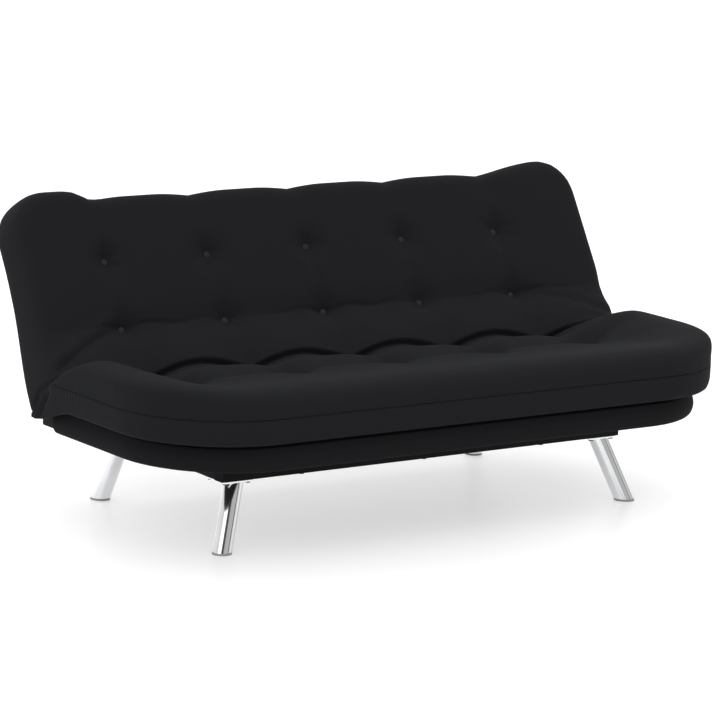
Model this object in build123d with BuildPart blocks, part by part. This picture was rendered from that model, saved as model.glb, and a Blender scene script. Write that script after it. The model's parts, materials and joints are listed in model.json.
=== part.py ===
from build123d import *
from math import cos, radians, sin, sqrt, tan
import os

# Click-clack sofa bed, shown in its sitting position.
#
# Frame: X to the right seen from the front, Y to the rear, Z up, in millimetres. The origin is on
# the floor under the middle of the whole sofa. The seat and the backrest are two decks hinged on
# one line, the pivot. Each deck has its own plane there: x along the sofa, y outwards from the
# pivot along the deck, z out of the deck towards the sitter. Below, "out" is the distance along
# a deck and "up" the height over its plane, so both decks are built by the same functions.

# ---- driving sizes ---------------------------------------------------------------------------

recline = 31              # lean of the backrest from upright, degrees
release_play = 4          # travel forward of the sitting position that frees the ratchet, degrees

leg_height = 180          # floor to the underside of the under-frame
leg_diameter = 52
leg_wall = 2
front_splay_x = 65        # how far a foot stands outside its top
rear_splay_x = 32
leg_splay_y = 53
leg_inset_x = 49          # leg top to the outer face of the under-frame
front_inset_y = 27
rear_inset_y = 51
leg_plate_size = 96
leg_plate_thickness = 4
glide_height = 6
glide_stem = 24
glide_clearance = 0.3

under_side_inset = 252    # under-frame side face inside the base band
under_front_inset = 202
under_rail_width = 40
under_rail_height = 70
under_rail_wall = 2
plug_thickness = 3

tube_width = 25           # tubes of both decks
seat_tube_height = 40
back_tube_height = 25
tube_wall = 2
tube_corner = 3
tube_top = -16            # top of the deck tubes, under the pivot plane
tube_start = 32           # first tube's near face, out from the pivot
dust_cover_thickness = 1

band_side_inset = 40      # base band inside the mattress
band_front_inset = 29
band_corner = 300
band_board = 15
band_padding = 8          # foam and fabric over the boards
band_lip = 2              # fabric over the boards' upper and lower edges
band_top = 5              # over the pivot plane
band_drop = 2             # below the top of the under-frame
band_rear = 136           # where the band stops in front of the pivot
band_roll = 7             # rounding of the padded band's edges

slat_width = 53
slat_thickness = 8
slat_pitch = 120
slat_clearance = 0.3
slat_slope_room = 3       # room over a sloping slat end in its holder
holder_width = 62
holder_length = 32
holder_wall = 3.5
holder_floor = 12
crossbar_pitch = 400

mattress_width = 1900
mattress_base = 18        # underside over the pivot plane
mattress_thickness = 145  # to the top of its pillows
seam_height = 68          # side seam over the underside
seam_tuck = 6             # how far the seam is drawn in
side_round = 26           # inset of the underside's edge
shoulder_inset = 45
shoulder_drop = 8
crown_inset = 80          # where the crown becomes level
least_corner = 12
loft_swell = 2.5          # the smooth sides bulge this far past their sections
seat_reach = 793
seat_corner = 300
back_reach = 528
back_corner = 105
back_frame_reach = 482
fold_lean = 52            # slope of the seat's end at the fold, from upright
fold_round = 24
soft_gap = 0.4

tuft_pitch = 330
tuft_columns = 5
seat_tuft_depth = 46
back_tuft_depth = 27
tuft_radius = 78
button_diameter = 22
button_height = 9
button_seat = 0.2
channel_width = 150
channel_depth = 13
channel_lift = 1          # the channels start this far over the crown
valley_width = 130
seat_valley_depth = 16
back_valley_depth = 7
seat_tuft_out = 370
back_low_tuft_out = 132
back_high_tuft_out = 326
scallop_depth = 13

core_margin = 70          # foam core inside the quilted cover
core_bottom = 22
core_height = 70
core_fold_margin = 20
core_clearance = 0.3

plate_thickness = 4       # hinge plates
hinge_washer = 1
pivot_diameter = 10
pivot_clearance = 0.2
bush_wall = 2
washer_radius = 14
boss_radius = 16
hub_radius = 15
hub_height = 11
bolt_head_height = 6
bolt_across = 16
bracket_reach = 190
arm_reach = 210
stop_radius = 30
stop_diameter = 8
stop_clearance = 0.5
stop_rim = 7
screw_diameter = 8
screw_head_height = 5
screw_across = 13
screw_hole_clearance = 0.2
screw_tip_room = 1
plate_screw_length = 12
frame_screw_grip = 9      # past the under-rail, into the deck's tubes
hinge_screw_length = 14

back_cover_fabric = 2
back_cover_start = 64
bumper_gap = 0.3
bumper_diameter = 24
bumper_pitch = 400

# ---- places worked out from them -------------------------------------------------------------

under_top = leg_height + under_rail_height
seat_tube_bottom = tube_top - seat_tube_height
back_tube_bottom = tube_top - back_tube_height
pivot_z = under_top + dust_cover_thickness - seat_tube_bottom
crown_up = mattress_base + mattress_thickness
seam_up = mattress_base + seam_height
mattress_half = mattress_width / 2

bed_angle = 90 - recline
seat_fold_lean = fold_lean + release_play / 2
back_fold_lean = bed_angle - fold_lean + release_play / 2
lean_sin = sin(radians(recline))
lean_cos = cos(radians(recline))

back_cover_up = back_tube_bottom - back_cover_fabric
back_depth = (back_frame_reach + back_cover_fabric) * lean_sin - back_cover_up * lean_cos
pivot_y = (seat_reach - back_depth) / 2
seat_deck = Plane(origin=(0, pivot_y, pivot_z), x_dir=(-1, 0, 0), z_dir=(0, 0, 1))
back_deck = Plane(origin=(0, pivot_y, pivot_z), x_dir=(1, 0, 0), z_dir=(0, -lean_cos, lean_sin))

band_half_width = mattress_half - band_side_inset
band_reach = seat_reach - band_front_inset
board_outer = band_half_width - band_padding
board_inner = board_outer - band_board
board_bottom = under_top - band_drop - pivot_z + band_lip
board_top = band_top - band_lip
corner_x = band_half_width - band_corner
corner_out = band_reach - band_corner
seat_side_x = board_inner
seat_front_out = band_reach - band_padding - band_board
corner_tube_radius = band_corner - band_padding - band_board - tube_width / 2
bracket_x = seat_side_x - tube_width
arm_x = bracket_x - plate_thickness - hinge_washer
back_side_x = arm_x - plate_thickness
hub_x = back_side_x - hub_height

tube_middle = tube_start + tube_width / 2
under_length = 2 * (band_half_width - under_side_inset)
under_front_out = band_reach - under_front_inset
under_depth = under_front_out + tube_middle + under_rail_width / 2
rail_x = under_length / 2 - under_rail_width / 2
rail_front_out = under_front_out - under_rail_width / 2
rail_rear_out = -tube_middle
rail_middle = (under_top + leg_height) / 2 - pivot_z
frame_screw_length = under_rail_height + frame_screw_grip

slat_foot = tube_top + holder_floor
slat_crown = mattress_base - soft_gap - slat_thickness
slat_per_side = int((back_side_x - tube_width - holder_width / 2) / slat_pitch + 0.5)
slat_places = [side * (i + 0.5) * slat_pitch for side in (-1, 1) for i in range(slat_per_side)]
crossbar_places = [-crossbar_pitch, 0, crossbar_pitch]
tuft_places = [(i - (tuft_columns - 1) / 2) * tuft_pitch for i in range(tuft_columns)]
print("pivot at y %.1f z %.1f, overall depth %.1f" % (pivot_y, pivot_z, seat_reach + back_depth))

os.makedirs("parts", exist_ok=True)


def save(sub_part, label):
    """Label a finished sub-part and write it as its own STEP file."""
    sub_part.part.label = label
    export_step(sub_part.part, "parts/" + label + ".step")


def deck_point(deck, x, out, up):
    """A point of a deck, in the sofa's frame."""
    return deck.from_local_coords(Vector(x, out, up))


def along_x(deck, x, out, up):
    """Plane square to the sofa's length: its x runs out along the deck, its y up."""
    return Plane(origin=deck_point(deck, x, out, up), x_dir=deck.y_dir, z_dir=deck.x_dir)


def along_out(deck, x, out, up):
    """Plane square to the deck's outward direction: its x runs along the sofa, its y down."""
    return Plane(origin=deck_point(deck, x, out, up), x_dir=deck.x_dir, z_dir=deck.y_dir)


def tube_section(width, height, wall):
    """Hollow rectangle with rounded corners, drawn in the current sketch."""
    RectangleRounded(width, height, tube_corner)
    RectangleRounded(width - 2 * wall, height - 2 * wall, tube_corner - wall / 2, mode=Mode.SUBTRACT)


def straight_tube(section, width, height, wall, length):
    """Tube that starts on its section plane."""
    with BuildPart() as bar:
        with BuildSketch(section):
            tube_section(width, height, wall)
        extrude(amount=length)
    return bar


def tube_along_x(deck, out, bottom, height, half_length):
    """Tube along the sofa, centred on its middle."""
    start = along_x(deck, -half_length, out, bottom + height / 2)
    return straight_tube(start, tube_width, height, tube_wall, 2 * half_length)


def tube_along_out(deck, x, bottom, height, start, end):
    """Tube from one distance out along the deck to another."""
    section = along_out(deck, x, start, bottom + height / 2)
    return straight_tube(section, tube_width, height, tube_wall, end - start)


def crossbars(deck, bottom, height, end):
    """The three short tubes between a deck's first and last tubes."""
    length = end - tube_start - tube_width
    with BuildPart() as bars:
        for x in crossbar_places:
            with BuildSketch(along_out(deck, x, tube_start + tube_width, bottom + height / 2)):
                tube_section(tube_width, height, tube_wall)
        extrude(amount=length)
    return bars


def seat_slat_end(x):
    """Outer face of the seat's front or corner tube, at the far edge of this slat's holder."""
    past_corner = max(abs(x) + holder_width / 2 - corner_x, 0)
    return corner_out + sqrt(corner_tube_radius ** 2 - past_corner ** 2) + tube_width / 2


def back_slat_end(x):
    """Outer face of the backrest's top tube."""
    return back_frame_reach


def slats(deck, end_at):
    """Sprung wooden slats, bowed towards the mattress."""
    start = tube_start + holder_wall
    with BuildPart() as row:
        for x in slat_places:
            end = end_at(x) - holder_wall
            middle = (start + end) / 2
            with BuildSketch(along_x(deck, x - slat_width / 2, 0, 0)):
                with BuildLine():
                    ThreePointArc((start, slat_foot), (middle, slat_crown), (end, slat_foot))
                    Line((end, slat_foot), (end, slat_foot + slat_thickness))
                    ThreePointArc(
                        (end, slat_foot + slat_thickness),
                        (middle, slat_crown + slat_thickness),
                        (start, slat_foot + slat_thickness),
                    )
                    Line((start, slat_foot + slat_thickness), (start, slat_foot))
                make_face()
            extrude(amount=slat_width)
    return row


def slat_holders(deck, end_at):
    """Plastic holders on the tubes, each with a pocket for one slat end."""
    pocket_floor = slat_foot - slat_clearance
    pocket_height = slat_thickness + slat_slope_room + 2 * slat_clearance
    height = pocket_floor + pocket_height + holder_wall - tube_top
    pocket_length = holder_length - holder_wall + slat_clearance
    pocket_width = slat_width + 2 * slat_clearance
    with BuildPart() as row:
        for x in slat_places:
            for end, inwards in ((tube_start, 1), (end_at(x), -1)):
                with BuildSketch(deck.offset(tube_top)):
                    with Locations((x, end + inwards * holder_length / 2)):
                        Rectangle(holder_width, holder_length)
                extrude(amount=height)
        for x in slat_places:
            for end, inwards in ((tube_start, 1), (end_at(x), -1)):
                with BuildSketch(deck.offset(pocket_floor)):
                    with Locations((x, end + inwards * (holder_length - pocket_length / 2))):
                        Rectangle(pocket_width, pocket_length)
                extrude(amount=pocket_height, mode=Mode.SUBTRACT)
    return row


# ---- mattress halves -------------------------------------------------------------------------


def side_profile():
    """Height over the deck and inset of the mattress outline, from its underside to its crown."""
    return (
        (mattress_base, side_round),
        (mattress_base + side_round / 2, side_round / 5),
        ((mattress_base + seam_up) / 2 + side_round / 4, loft_swell),
        (seam_up, seam_tuck),
        (seam_up + seam_height * 0.4, loft_swell),
        (crown_up - 3 * shoulder_drop, shoulder_inset * 0.35),
        (crown_up - shoulder_drop, shoulder_inset),
        (crown_up, crown_inset),
    )


def half_plan(inset, reach, corner, start):
    """Plan of a mattress half: from its start along the deck to two round far corners."""
    side = mattress_half - inset
    end = reach - inset
    turn = max(corner - inset, least_corner)
    with BuildLine() as plan:
        Line((side, start), (side, end - turn))
        JernArc((side, end - turn), (0, 1), turn, 90)
        Line((side - turn, end), (turn - side, end))
        JernArc((turn - side, end), (-1, 0), turn, 90)
        Line((-side, end - turn), (-side, start))
        Line((-side, start), (side, start))
    return plan.edges()


def cusp(width, depth):
    """Section of a channel: two soft pillows that meet in a cusp.

    Its x is across the channel and its y points out of the cushion; y = 0 is the crown.
    """
    with BuildLine() as section:
        ThreePointArc((-width / 2, channel_lift), (-width / 5, -depth * 0.36), (0, -depth))
        ThreePointArc((0, -depth), (width / 5, -depth * 0.36), (width / 2, channel_lift))
        Polyline((width / 2, channel_lift), (width / 2, width), (-width / 2, width), (-width / 2, channel_lift))
    return section.edges()


def crown_section(deck, x, out, direction, across):
    """Plane for a cusp that is extruded along the crown in the given direction."""
    return Plane(origin=deck_point(deck, x, out, crown_up), x_dir=across, z_dir=direction)


def mattress(
    deck, reach, corner, lean, tuft_outs, tuft_depth, channel_end, valley_out, valley_depth, scallop,
):
    """One half of the folded mattress: crowned, drawn in at its seam, channelled and tufted."""
    slope = tan(radians(lean))
    run_in = crown_up * slope + crown_inset
    lid = crown_up + channel_lift
    valley_half = tuft_places[-1]
    with BuildPart() as half:
        for up, inset in side_profile():
            with BuildSketch(deck.offset(up)):
                make_face(half_plan(inset, reach, corner, -run_in))
        loft()
        # the sloping end at the fold, with its upper edge rounded over
        with BuildSketch(along_x(deck, -mattress_width, 0, 0)):
            with BuildLine():
                FilletPolyline(
                    (soft_gap, 0), (soft_gap + lid * slope, lid), (2 * reach, lid), (2 * reach, 0),
                    radius=(0, fold_round, 0, 0),
                    close=True,
                )
            make_face()
        extrude(amount=2 * mattress_width, mode=Mode.INTERSECT)
        # pillows: channels from the fold outwards, a valley across them, scallops in the far edge
        for x in tuft_places:
            with BuildSketch(crown_section(deck, x, 0, deck.y_dir, -deck.x_dir)):
                make_face(cusp(channel_width, channel_depth))
            extrude(amount=channel_end, mode=Mode.SUBTRACT)
        with BuildSketch(crown_section(deck, -valley_half, valley_out, deck.x_dir, deck.y_dir)):
            make_face(cusp(valley_width, valley_depth))
        extrude(amount=2 * valley_half, mode=Mode.SUBTRACT)
        if scallop > 0:
            for x in tuft_places:
                far_edge = Plane(origin=deck_point(deck, x, reach, 0), x_dir=deck.x_dir, z_dir=deck.z_dir)
                with BuildSketch(far_edge):
                    make_face(cusp(channel_width, scallop))
                extrude(amount=2 * crown_up, mode=Mode.SUBTRACT)
        # tufts: a dimple with a flat floor for its button
        for x in tuft_places:
            for out in tuft_outs:
                with BuildSketch(along_x(deck, x, out, crown_up)):
                    with BuildLine():
                        ThreePointArc(
                            (button_diameter / 2 + 1, -tuft_depth),
                            (tuft_radius * 0.42, -tuft_depth * 0.34),
                            (tuft_radius, channel_lift),
                        )
                        Polyline(
                            (tuft_radius, channel_lift),
                            (tuft_radius, tuft_radius),
                            (0, tuft_radius),
                            (0, -tuft_depth),
                            (button_diameter / 2 + 1, -tuft_depth),
                        )
                    make_face()
                revolve(axis=Axis(deck_point(deck, x, out, 0), deck.z_dir), mode=Mode.SUBTRACT)
        # room for the foam core
        with BuildSketch(deck.offset(mattress_base + core_bottom - core_clearance)):
            make_face(half_plan(core_margin - core_clearance, reach, corner, core_start(lean) - core_clearance))
        extrude(amount=core_height + 2 * core_clearance, mode=Mode.SUBTRACT)
    return half


def core_start(lean):
    """Where a foam core starts along its deck, clear of the sloping end."""
    return (mattress_base + core_bottom + core_height) * tan(radians(lean)) + core_fold_margin


def foam_core(deck, lean, reach, corner):
    """Foam block inside a mattress half."""
    with BuildPart() as core:
        with BuildSketch(deck.offset(mattress_base + core_bottom)):
            make_face(half_plan(core_margin, reach, corner, core_start(lean)))
        extrude(amount=core_height)
    return core


def tuft_buttons(deck, tuft_outs, tuft_depth):
    """Covered buttons, domed, one on the floor of each dimple."""
    foot = crown_up - tuft_depth + button_seat
    radius = button_diameter / 2
    with BuildPart() as buttons:
        for x in tuft_places:
            for out in tuft_outs:
                with BuildSketch(along_x(deck, x, out, foot)):
                    with BuildLine():
                        Polyline((radius, button_height / 3), (radius, 0), (0, 0), (0, button_height))
                        ThreePointArc(
                            (0, button_height),
                            (radius * 0.7, button_height * 0.78),
                            (radius, button_height / 3),
                        )
                    make_face()
                revolve(axis=Axis(deck_point(deck, x, out, 0), deck.z_dir))
    return buttons


# ---- base band, under-frame and legs ---------------------------------------------------------


def band_ring(outer, inner):
    """U-shaped plan of the base band between two distances inside its outside."""
    with BuildLine() as plan:
        for inset in (outer, inner):
            side = band_half_width - inset
            end = band_reach - inset
            turn = band_corner - inset
            Line((side, band_rear), (side, corner_out))
            CenterArc((corner_x, corner_out), turn, 0, 90)
            Line((corner_x, end), (-corner_x, end))
            CenterArc((-corner_x, corner_out), turn, 90, 90)
            Line((-side, corner_out), (-side, band_rear))
        for way in (-1, 1):
            Line((way * (band_half_width - outer), band_rear), (way * (band_half_width - inner), band_rear))
    return plan.edges()


def straight_board(x0, x1, out0, out1):
    """Plywood board of the band between two corners of its plan."""
    with BuildPart() as board:
        with BuildSketch(seat_deck.offset(board_bottom)):
            with Locations(((x0 + x1) / 2, (out0 + out1) / 2)):
                Rectangle(abs(x1 - x0), abs(out1 - out0))
        extrude(amount=board_top - board_bottom)
    return board


def corner_board(side):
    """Bent board round one front corner, side -1 or 1 in the deck's own x."""
    outer = band_corner - band_padding
    with BuildPart() as board:
        with BuildSketch(seat_deck.offset(board_bottom)):
            with BuildLine():
                start = 0 if side > 0 else 90
                CenterArc((side * corner_x, corner_out), outer, start, 90)
                CenterArc((side * corner_x, corner_out), outer - band_board, start, 90)
                side_x = side * corner_x
                Line((side_x, corner_out + outer), (side_x, corner_out + outer - band_board))
                end_x = side * (corner_x + outer)
                Line((end_x, corner_out), (end_x - side * band_board, corner_out))
            make_face()
        extrude(amount=board_top - board_bottom)
    return board


def band_cover():
    """Padded fabric over the boards, lapped over their upper and lower edges."""
    full = board_top - board_bottom + 2 * band_lip
    with BuildPart() as cover:
        with BuildSketch(seat_deck.offset(board_bottom - band_lip)):
            make_face(band_ring(0, band_padding + band_board))
        extrude(amount=full)
        outside = cover.part.edges().filter_by(Plane.XY).filter_by(is_outer_edge)
        fillet(outside, band_roll)
        with BuildSketch(seat_deck.offset(board_bottom)):
            make_face(band_ring(band_padding, band_padding + band_board))
        extrude(amount=board_top - board_bottom, mode=Mode.SUBTRACT)
    return cover


def is_outer_edge(edge):
    """Whether an edge of the band runs along its outside."""
    middle = seat_deck.to_local_coords(edge @ 0.5)
    past_x = max(abs(middle.X) - corner_x, 0)
    past_out = max(middle.Y - corner_out, 0)
    on_side = abs(past_x - band_corner) < 1 and past_out < 1
    on_front = abs(past_out - band_corner) < 1 and past_x < 1
    on_corner = abs(sqrt(past_x ** 2 + past_out ** 2) - band_corner) < 1
    return on_side or on_front or on_corner


def corner_tube(side):
    """Bent tube behind one front corner of the band."""
    start_x = side * (corner_x + corner_tube_radius)
    start = along_out(seat_deck, start_x, corner_out, seat_tube_bottom + seat_tube_height / 2)
    with BuildPart() as bend:
        with BuildSketch(start):
            tube_section(tube_width, seat_tube_height, tube_wall)
        turn = Axis(deck_point(seat_deck, side * corner_x, corner_out, 0), seat_deck.z_dir * side)
        revolve(axis=turn, revolution_arc=90)
    return bend


def dust_cover():
    """Thin cloth under the seat, held between the under-frame and the deck tubes."""
    with BuildPart() as cloth:
        with BuildSketch(seat_deck.offset(under_top - pivot_z)):
            with BuildLine():
                turn = band_corner - band_padding - band_board - soft_gap
                side = corner_x + turn
                Line((side, tube_start), (side, corner_out))
                CenterArc((corner_x, corner_out), turn, 0, 90)
                Line((corner_x, corner_out + turn), (-corner_x, corner_out + turn))
                CenterArc((-corner_x, corner_out), turn, 90, 90)
                Line((-side, corner_out), (-side, tube_start))
                Line((-side, tube_start), (side, tube_start))
            make_face()
        extrude(amount=dust_cover_thickness)
    return cloth


def under_rail(section, length):
    """Flat rectangular tube of the under-frame."""
    return straight_tube(section, under_rail_width, under_rail_height, under_rail_wall, length)


def leg_top(side, end):
    """Centre of a leg's top: side -1 or 1 along X, end -1 at the front and 1 at the rear."""
    front_y = pivot_y - under_front_out
    x = side * (under_length / 2 - leg_inset_x)
    y = front_y + front_inset_y if end < 0 else front_y + under_depth - rear_inset_y
    return Vector(x, y, leg_height - leg_plate_thickness)


def leg_axis(side, end):
    """Plane at a foot's centre on the floor, its normal up along the splayed leg."""
    top = leg_top(side, end)
    splay_x = front_splay_x if end < 0 else rear_splay_x
    foot = Vector(top.X + side * splay_x, top.Y + end * leg_splay_y, 0)
    return Plane(origin=foot, x_dir=(1, 0, 0), z_dir=top - foot)


def plate_corner(side, end, inset_x, inset_y):
    """Point at these distances inside the under-frame's corner over a leg."""
    front_y = pivot_y - under_front_out
    y = front_y + inset_y if end < 0 else front_y + under_depth - inset_y
    return side * (under_length / 2 - inset_x), y


def plate_screw_places(side, end):
    """The three screws of a leg's plate, all under the rails."""
    near = under_rail_width * 0.35
    far = leg_plate_size - under_rail_width * 0.3
    return [plate_corner(side, end, *inset) for inset in ((near, near), (near, far), (far, near))]


def leg(side, end):
    """Splayed tube leg with its welded mounting plate."""
    axis = leg_axis(side, end)
    foot_to_top = (leg_top(side, end) - axis.origin).length
    with BuildPart() as one:
        with BuildSketch(axis):
            Circle(leg_diameter / 2)
            Circle(leg_diameter / 2 - leg_wall, mode=Mode.SUBTRACT)
        extrude(amount=foot_to_top + leg_diameter, both=True)
        split(bisect_by=Plane.XY.offset(glide_height), keep=Keep.TOP)
        split(bisect_by=Plane.XY.offset(leg_height - leg_plate_thickness), keep=Keep.BOTTOM)
        centre = plate_corner(side, end, leg_plate_size / 2 + 1, leg_plate_size / 2 + 1)
        with BuildSketch(Plane.XY.offset(leg_height - leg_plate_thickness)):
            with Locations(centre):
                RectangleRounded(leg_plate_size, leg_plate_size, screw_diameter)
            with Locations(plate_screw_places(side, end)):
                Circle(screw_diameter / 2 + screw_hole_clearance, mode=Mode.SUBTRACT)
        extrude(amount=leg_plate_thickness)
    return one


def glide(side, end):
    """Plastic foot: a pad under the tube, with a plug up inside it."""
    axis = leg_axis(side, end)
    with BuildPart() as pad:
        with BuildSketch(axis):
            Circle(leg_diameter / 2)
        extrude(amount=leg_diameter, both=True)
        split(bisect_by=Plane.XY.offset(glide_height), keep=Keep.BOTTOM)
        split(bisect_by=Plane.XY, keep=Keep.TOP)
    with BuildPart() as plug:
        with BuildSketch(axis):
            Circle(leg_diameter / 2 - leg_wall - glide_clearance)
        extrude(amount=leg_diameter + glide_stem, both=True)
        split(bisect_by=Plane.XY.offset(glide_height + glide_stem), keep=Keep.BOTTOM)
        split(bisect_by=Plane.XY.offset(glide_height), keep=Keep.TOP)
        add(pad.part)
    return plug


# ---- click-clack hinges ----------------------------------------------------------------------


def hinge_side(deck, side):
    """Deck's x direction for one end of the sofa: side is -1 or 1 along X."""
    return side * round(deck.x_dir.X)


def plate_plane(deck, side, inner_x):
    """Plane of a hinge plate's inner face, x out along the deck, its normal away from the middle."""
    normal = Vector(side, 0, 0)
    return Plane(origin=deck_point(deck, hinge_side(deck, side) * inner_x, 0, 0), x_dir=deck.y_dir, z_dir=normal)


def up_sign(deck, side):
    """Whether the plate plane's y runs out of the deck (1) or into it (-1)."""
    return round(plate_plane(deck, side, 0).y_dir.dot(deck.z_dir))


def bracket_screw_places():
    """Screws of the fixed plate, along the seat's side tube."""
    middle = (tube_top + seat_tube_bottom) / 2
    return [(bracket_reach * share, middle) for share in (0.4, 0.64, 0.88)]


def arm_screw_places():
    """Screws of the moving arm, along the backrest's side tube."""
    middle = (tube_top + back_tube_bottom) / 2
    return [(arm_reach * share, middle) for share in (0.4, 0.65, 0.9)]


def hinge_bracket(side):
    """Fixed plate on the seat frame: boss, quadrant with the stop pin's slot, and screw leg."""
    plane = plate_plane(seat_deck, side, bracket_x - plate_thickness)
    up = up_sign(seat_deck, side)
    slot_width = stop_diameter + 2 * stop_clearance
    rim = stop_radius + slot_width / 2 + stop_rim
    travel = bed_angle + release_play
    foremost = 180 + recline - release_play
    start = foremost if up > 0 else -foremost - travel
    path = Edge.make_circle(stop_radius, start_angle=start, end_angle=start + travel)
    with BuildPart() as bracket:
        with BuildSketch(plane):
            Circle(boss_radius)
            make_face(quadrant(rim, up))
            with Locations((bracket_reach / 2, up * (tube_top + seat_tube_bottom) / 2)):
                Rectangle(bracket_reach, seat_tube_height)
            Circle(pivot_diameter / 2 + pivot_clearance, mode=Mode.SUBTRACT)
            SlotArc(path, slot_width, mode=Mode.SUBTRACT)
        extrude(amount=plate_thickness)
    return bracket


def quadrant(rim, up):
    """Half disc below the pivot."""
    with BuildLine() as outline:
        CenterArc((0, 0), rim, 180 if up > 0 else 0, 180)
        Line((-rim, 0), (rim, 0))
    return outline.edges()


def hinge_arm(side):
    """Moving plate on the backrest: boss, stop pin ear and screw leg along the side tube."""
    plane = plate_plane(back_deck, side, arm_x - plate_thickness)
    up = up_sign(back_deck, side)
    ear = stop_diameter / 2 + stop_rim
    with BuildPart() as arm:
        with BuildSketch(plane):
            Circle(boss_radius)
            with Locations((0, -up * stop_radius)):
                Circle(ear)
            with Locations((0, -up * stop_radius / 2)):
                Rectangle(2 * ear, stop_radius)
            with Locations((arm_reach / 2, up * (tube_top + back_tube_bottom) / 2)):
                Rectangle(arm_reach, back_tube_height)
            Circle(pivot_diameter / 2 + pivot_clearance + bush_wall, mode=Mode.SUBTRACT)
            with Locations((0, -up * stop_radius)):
                Circle(stop_diameter / 2, mode=Mode.SUBTRACT)
        extrude(amount=plate_thickness)
    return arm


def stop_pins():
    """Pins in the arms' ears that run in the brackets' slots."""
    with BuildPart() as pins:
        for side in (-1, 1):
            plane = plate_plane(back_deck, side, arm_x - plate_thickness)
            with BuildSketch(plane):
                with Locations((0, -up_sign(back_deck, side) * stop_radius)):
                    Circle(stop_diameter / 2)
            extrude(amount=2 * plate_thickness + hinge_washer)
    return pins


def ratchet_hub(side):
    """Closed ratchet housing inside an arm, with a domed rim."""
    with BuildPart() as hub:
        with BuildSketch(plate_plane(back_deck, side, hub_x)):
            Circle(hub_radius)
            Circle(pivot_diameter / 2 + pivot_clearance + bush_wall, mode=Mode.SUBTRACT)
        extrude(amount=hub_height)
        fillet(hub.edges().filter_by(GeomType.CIRCLE).sort_by(Axis.X)[-1 if side < 0 else 0], 1)
    return hub


def hinge_bushes():
    """Bushes pressed into the hubs and arms, round the pivot bolts."""
    inner = pivot_diameter / 2 + pivot_clearance
    with BuildPart() as bushes:
        for side in (-1, 1):
            with BuildSketch(plate_plane(back_deck, side, hub_x)):
                Circle(inner + bush_wall)
                Circle(inner, mode=Mode.SUBTRACT)
            extrude(amount=hub_height + plate_thickness)
    return bushes


def hinge_washers():
    """Spacers between the moving and the fixed plates."""
    with BuildPart() as spacers:
        for side in (-1, 1):
            with BuildSketch(plate_plane(seat_deck, side, arm_x)):
                Circle(washer_radius)
                Circle(pivot_diameter / 2 + pivot_clearance, mode=Mode.SUBTRACT)
            extrude(amount=hinge_washer)
    return spacers


def pivot_bolts():
    """Shouldered pivot bolts: head outside the bracket, nut inside the hub."""
    grip = bracket_x - hub_x
    with BuildPart() as bolts:
        for side in (-1, 1):
            with BuildSketch(plate_plane(seat_deck, side, hub_x - bolt_head_height)):
                RegularPolygon(bolt_across / 2, 6, major_radius=False)
            extrude(amount=bolt_head_height)
            with BuildSketch(plate_plane(seat_deck, side, hub_x)):
                Circle(pivot_diameter / 2)
            extrude(amount=grip)
            with BuildSketch(plate_plane(seat_deck, side, bracket_x)):
                RegularPolygon(bolt_across / 2, 6, major_radius=False)
            extrude(amount=bolt_head_height)
    return bolts


# ---- screws ----------------------------------------------------------------------------------


def screws(head_planes, length):
    """Group of hex screws: each head rises from its plane and the shank goes into it."""
    with BuildPart() as group:
        for plane in head_planes:
            with BuildSketch(plane):
                RegularPolygon(screw_across / 2, 6, major_radius=False)
            extrude(amount=screw_head_height)
            with BuildSketch(plane):
                Circle(screw_diameter / 2)
            extrude(amount=-length)
    return group


def drill(sub_part, head_planes, length):
    """The sub-part with clearance holes for screws under these heads."""
    with BuildPart() as drilled:
        add(sub_part.part)
        for plane in head_planes:
            with BuildSketch(plane):
                Circle(screw_diameter / 2 + screw_hole_clearance)
            extrude(amount=-length - screw_tip_room, mode=Mode.SUBTRACT)
    return drilled


def hinge_screw_planes(deck, side, face_x, towards, places):
    """Head planes on one face of a hinge plate; towards is the heads' direction along X."""
    plate = plate_plane(deck, side, face_x)
    up = up_sign(deck, side)
    origins = [plate.from_local_coords(Vector(out, up * height, 0)) for out, height in places]
    return [Plane(origin=origin, z_dir=(towards, 0, 0)) for origin in origins]


def head_plane_below(x, y, z):
    """Head plane of a screw driven upwards."""
    return Plane(origin=(x, y, z), x_dir=(1, 0, 0), z_dir=(0, 0, -1))


def frame_screw_places():
    """Where the deck is screwed down to the under-frame, along X and Y."""
    front = [(x, pivot_y - rail_front_out) for x in crossbar_places]
    return front + [(side * rail_x, pivot_y - tube_middle) for side in (-1, 1)]


# ---- rear cover and stops --------------------------------------------------------------------


def back_cover():
    """Fabric-covered rear panel of the backrest, lapped round its frame past the hinge arms."""
    lap_start = arm_reach + back_cover_start / 4
    end = back_frame_reach + back_cover_fabric
    with BuildPart() as cover:
        with BuildSketch(back_deck.offset(back_cover_up)):
            with Locations((0, (back_cover_start + end) / 2)):
                Rectangle(2 * back_side_x, end - back_cover_start)
            with Locations((0, (lap_start + end) / 2)):
                Rectangle(2 * (back_side_x + back_cover_fabric), end - lap_start)
        extrude(amount=tube_top - back_cover_up)
        with BuildSketch(back_deck.offset(back_tube_bottom)):
            with Locations((0, back_frame_reach / 2)):
                Rectangle(2 * back_side_x, back_frame_reach)
        extrude(amount=back_tube_height, mode=Mode.SUBTRACT)
    return cover


def bumpers():
    """Rubber pads on the rear rail that the flat backrest stops on."""
    with BuildPart() as pads:
        with BuildSketch(seat_deck.offset(under_top - pivot_z)):
            with Locations([(i * bumper_pitch, rail_rear_out) for i in (-1, 0, 1)]):
                Circle(bumper_diameter / 2)
        extrude(amount=back_tube_bottom - (under_top - pivot_z) - bumper_gap)
    return pads


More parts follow.
